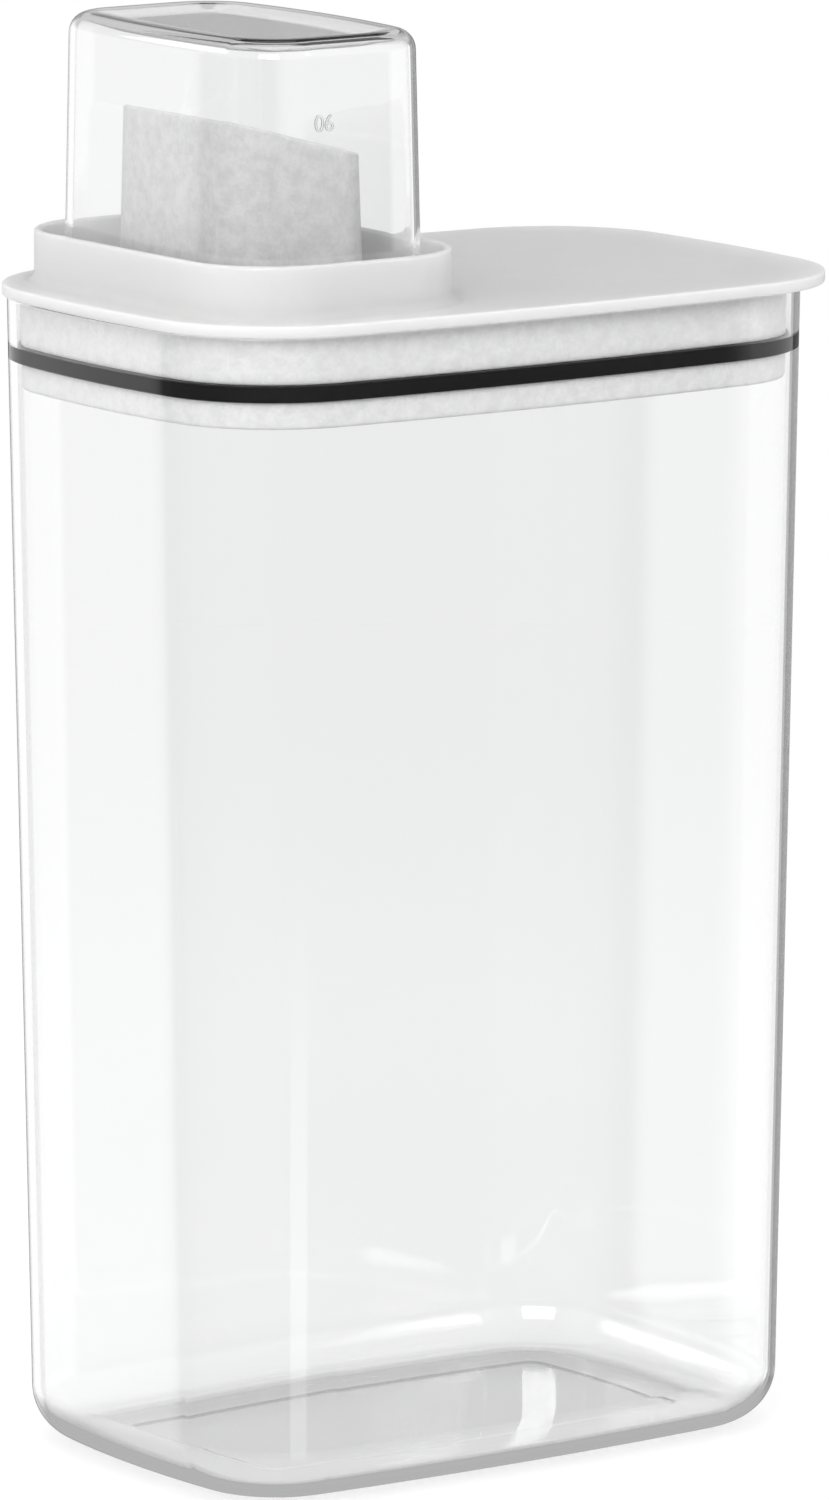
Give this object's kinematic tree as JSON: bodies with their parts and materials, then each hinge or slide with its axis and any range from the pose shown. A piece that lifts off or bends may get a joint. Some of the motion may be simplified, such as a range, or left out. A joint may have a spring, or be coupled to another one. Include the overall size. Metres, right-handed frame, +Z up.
{
  "type": "dry food container with pour lid",
  "caption": "Clear tapered dry food bin with rounded corners, push-in white lid with a ring seal and slanted pour spout, capped by an upturned clear measuring cup.",
  "frame": {"origin": "on the table, under the middle of the lid's outline", "axes": "+Z up along the height; X along the length with the spout end at -X and the finger lip at +X; the long front side faces -Y"},
  "size_m": [0.144, 0.097, 0.2636],
  "materials": {
    "clear_bin": "clear, glossy",
    "white_cover": "smooth satin",
    "frosted_plug": "translucent, frosted",
    "black_seal": "soft, satin",
    "clear_cup": "clear, glossy"
  },
  "bodies": {
    "container": {"container_body": "clear_bin"},
    "lid": {"lid_cover": "white_cover", "lid_plug": "frosted_plug", "lid_seal": "black_seal"},
    "cup": {"measuring_cup": "clear_cup"}
  },
  "joints": [
    {"name": "lid_lift", "type": "slide", "parent": "container", "child": "lid", "axis": [0, 0, 1], "range_m": [0, 0.04]},
    {"name": "cup_lift", "type": "slide", "parent": "lid", "child": "cup", "axis": [0, 0, 1], "range_m": [0, 0.05]}
  ]
}
